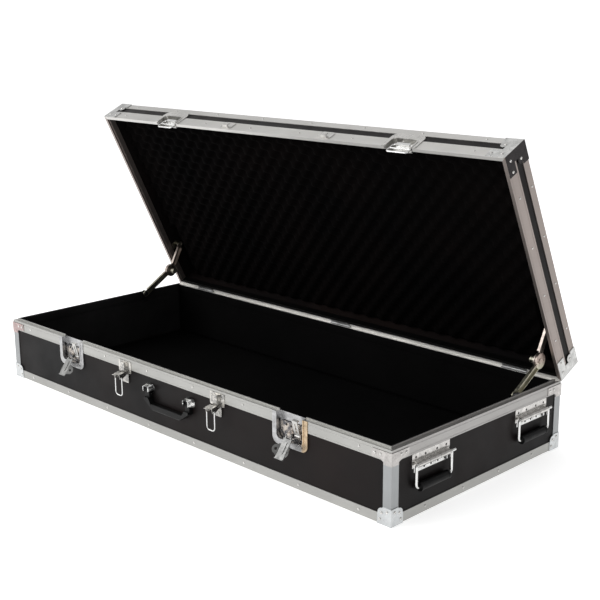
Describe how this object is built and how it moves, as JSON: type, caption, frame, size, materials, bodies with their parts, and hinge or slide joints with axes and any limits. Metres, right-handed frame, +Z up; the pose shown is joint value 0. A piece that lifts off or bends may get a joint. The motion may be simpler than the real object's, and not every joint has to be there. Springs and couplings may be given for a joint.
{
  "type": "pedalboard flight case",
  "caption": "Long shallow flight case for a pedalboard: black panels in aluminium extrusions, a foam-lined hinged lid held open by folding stays, recessed latches, draw latches and handles.",
  "frame": {"origin": "centre of the base in plan, at the surface its bottom corner brackets stand on", "axes": "+X along the long front to the right, +Y from the front to the hinged back, +Z up"},
  "size_m": [1.2304, 0.6054, 0.6346],
  "materials": {
    "panel_laminate": "black hard laminate on plywood, satin",
    "aluminium_extrusion": "satin anodised, faint grooves",
    "corner_steel": "nickel plated sheet",
    "latch_steel": "zinc and nickel plated",
    "zinc_steel": "yellow zinc plated",
    "bright_wire": "bright nickel plated",
    "rivet_steel": "plated rivet heads",
    "felt": "black felt lining",
    "foam": "black egg-crate foam",
    "handle_plastic": "moulded, black",
    "handle_rubber": "black rubber sleeve"
  },
  "bodies": {
    "base": {"base_back_panel": "panel_laminate", "base_back_rim": "aluminium_extrusion", "base_bottom_corners": "corner_steel", "base_bottom_edges": "aluminium_extrusion", "base_corner_posts": "aluminium_extrusion", "base_end_panels": "panel_laminate", "base_end_rims": "aluminium_extrusion", "base_floor_panel": "panel_laminate", "base_front_panel": "panel_laminate", "base_front_rim": "aluminium_extrusion", "base_lining": "felt", "base_rim_braces": "corner_steel", "base_rivets": "rivet_steel", "carry_handle_caps": "bright_wire", "draw_latch_plates": "zinc_steel", "end_handle_plates": "latch_steel", "hinge_base_leaves": "zinc_steel", "hinge_pins": "zinc_steel", "latch_base_dishes": "latch_steel", "latch_mechanisms": "latch_steel", "stay_base_brackets": "zinc_steel"},
    "lid": {"draw_latch_keepers": "zinc_steel", "hinge_lid_leaves": "zinc_steel", "latch_lid_dishes": "latch_steel", "latch_strikers": "bright_wire", "lid_back_rim": "aluminium_extrusion", "lid_corners": "corner_steel", "lid_end_rims": "aluminium_extrusion", "lid_foam": "foam", "lid_front_rim": "aluminium_extrusion", "lid_rivets": "rivet_steel", "lid_top_edges": "aluminium_extrusion", "lid_top_panel": "panel_laminate", "lid_wall_panels": "panel_laminate", "stay_lid_brackets": "zinc_steel"},
    "stay_lower_left": {"stay_lower_arm_left": "zinc_steel"},
    "stay_upper_left": {"stay_upper_arm_left": "zinc_steel"},
    "stay_button_left": {"stay_button_left": "zinc_steel"},
    "latch_spindle_left": {"latch_spindle_left": "latch_steel"},
    "latch_key_left": {"latch_key_left": "latch_steel"},
    "latch_hook_left": {"latch_hook_left": "latch_steel"},
    "draw_lever_left": {"draw_lever_left": "zinc_steel"},
    "draw_loop_left": {"draw_loop_left": "bright_wire"},
    "end_handle_front_left": {"end_bail_front_left": "bright_wire", "end_grip_front_left": "handle_rubber"},
    "end_handle_back_left": {"end_bail_back_left": "bright_wire", "end_grip_back_left": "handle_rubber"},
    "stay_lower_right": {"stay_lower_arm_right": "zinc_steel"},
    "stay_upper_right": {"stay_upper_arm_right": "zinc_steel"},
    "stay_button_right": {"stay_button_right": "zinc_steel"},
    "latch_spindle_right": {"latch_spindle_right": "latch_steel"},
    "latch_key_right": {"latch_key_right": "latch_steel"},
    "latch_hook_right": {"latch_hook_right": "latch_steel"},
    "draw_lever_right": {"draw_lever_right": "zinc_steel"},
    "draw_loop_right": {"draw_loop_right": "bright_wire"},
    "end_handle_front_right": {"end_bail_front_right": "bright_wire", "end_grip_front_right": "handle_rubber"},
    "end_handle_back_right": {"end_bail_back_right": "bright_wire", "end_grip_back_right": "handle_rubber"},
    "carry_handle": {"carry_handle_grip": "handle_plastic"}
  },
  "joints": [
    {"name": "lid_hinge", "type": "hinge", "parent": "base", "child": "lid", "pos_m": [0, 0.2575, 0.141], "axis": [-1, 0, 0], "range_deg": [-64.5, 2.5]},
    {"name": "stay_lower_left_turn", "type": "hinge", "parent": "base", "child": "stay_lower_left", "pos_m": [-0.58, 0.126, 0.139], "axis": [1, 0, 0], "range_deg": [-26, 2]},
    {"name": "stay_upper_left_turn", "type": "hinge", "parent": "stay_lower_left", "child": "stay_upper_left", "pos_m": [-0.576, 0.209, 0.189], "axis": [1, 0, 0], "range_deg": [-6, 130]},
    {"name": "stay_button_left_press", "type": "slide", "parent": "stay_lower_left", "child": "stay_button_left", "axis": [-1, 0, 0], "range_m": [0, 0.0015], "stiffness_N_per_m": 400},
    {"name": "latch_turn_left", "type": "hinge", "parent": "base", "child": "latch_spindle_left", "pos_m": [-0.354, -0.2575, 0.103], "axis": [0, -1, 0], "range_deg": [0, 180]},
    {"name": "latch_key_left_fold", "type": "hinge", "parent": "latch_spindle_left", "child": "latch_key_left", "pos_m": [-0.354, -0.2585, 0.103], "axis": [-1, 0, 0], "range_deg": [-20, 64]},
    {"name": "latch_hook_left_tip", "type": "hinge", "parent": "base", "child": "latch_hook_left", "pos_m": [-0.3368, -0.2535, 0.104], "axis": [-1, 0, 0], "range_deg": [0, 14]},
    {"name": "draw_lever_left_turn", "type": "hinge", "parent": "base", "child": "draw_lever_left", "pos_m": [-0.151, -0.262, 0.11], "axis": [-1, 0, 0], "range_deg": [-45, 20]},
    {"name": "draw_loop_left_turn", "type": "hinge", "parent": "draw_lever_left", "child": "draw_loop_left", "pos_m": [-0.151, -0.276, 0.103], "axis": [-1, 0, 0], "range_deg": [-20, 45]},
    {"name": "end_handle_front_left_swing", "type": "hinge", "parent": "base", "child": "end_handle_front_left", "pos_m": [-0.607, -0.151, 0.099], "axis": [0, 1, 0], "range_deg": [0, 90]},
    {"name": "end_handle_back_left_swing", "type": "hinge", "parent": "base", "child": "end_handle_back_left", "pos_m": [-0.607, 0.156, 0.099], "axis": [0, 1, 0], "range_deg": [0, 90]},
    {"name": "stay_lower_right_turn", "type": "hinge", "parent": "base", "child": "stay_lower_right", "pos_m": [0.58, 0.126, 0.139], "axis": [1, 0, 0], "range_deg": [-26, 2]},
    {"name": "stay_upper_right_turn", "type": "hinge", "parent": "stay_lower_right", "child": "stay_upper_right", "pos_m": [0.576, 0.209, 0.189], "axis": [1, 0, 0], "range_deg": [-6, 130]},
    {"name": "stay_button_right_press", "type": "slide", "parent": "stay_lower_right", "child": "stay_button_right", "axis": [1, 0, 0], "range_m": [0, 0.0015], "stiffness_N_per_m": 400},
    {"name": "latch_turn_right", "type": "hinge", "parent": "base", "child": "latch_spindle_right", "pos_m": [0.354, -0.2575, 0.103], "axis": [0, -1, 0], "range_deg": [0, 180]},
    {"name": "latch_key_right_fold", "type": "hinge", "parent": "latch_spindle_right", "child": "latch_key_right", "pos_m": [0.354, -0.2585, 0.103], "axis": [-1, 0, 0], "range_deg": [-20, 64]},
    {"name": "latch_hook_right_tip", "type": "hinge", "parent": "base", "child": "latch_hook_right", "pos_m": [0.3712, -0.2535, 0.104], "axis": [-1, 0, 0], "range_deg": [0, 14]},
    {"name": "draw_lever_right_turn", "type": "hinge", "parent": "base", "child": "draw_lever_right", "pos_m": [0.151, -0.262, 0.11], "axis": [-1, 0, 0], "range_deg": [-45, 20]},
    {"name": "draw_loop_right_turn", "type": "hinge", "parent": "draw_lever_right", "child": "draw_loop_right", "pos_m": [0.151, -0.276, 0.103], "axis": [-1, 0, 0], "range_deg": [-20, 45]},
    {"name": "end_handle_front_right_swing", "type": "hinge", "parent": "base", "child": "end_handle_front_right", "pos_m": [0.607, -0.151, 0.099], "axis": [0, -1, 0], "range_deg": [0, 90]},
    {"name": "end_handle_back_right_swing", "type": "hinge", "parent": "base", "child": "end_handle_back_right", "pos_m": [0.607, 0.156, 0.099], "axis": [0, -1, 0], "range_deg": [0, 90]},
    {"name": "carry_handle_swing", "type": "hinge", "parent": "base", "child": "carry_handle", "pos_m": [0, -0.261, 0.095], "axis": [-1, 0, 0], "range_deg": [0, 88]}
  ],
  "couplings": [
    {"joint": "stay_lower_left_turn", "follows": "lid_hinge", "ratio": 0.3932},
    {"joint": "stay_upper_left_turn", "follows": "lid_hinge", "ratio": -1.9882},
    {"joint": "latch_hook_left_tip", "follows": "latch_turn_left", "ratio": 0.077778},
    {"joint": "draw_loop_left_turn", "follows": "draw_lever_left_turn", "ratio": -1},
    {"joint": "stay_lower_right_turn", "follows": "lid_hinge", "ratio": 0.3932},
    {"joint": "stay_upper_right_turn", "follows": "lid_hinge", "ratio": -1.9882},
    {"joint": "latch_hook_right_tip", "follows": "latch_turn_right", "ratio": 0.077778},
    {"joint": "draw_loop_right_turn", "follows": "draw_lever_right_turn", "ratio": -1}
  ]
}
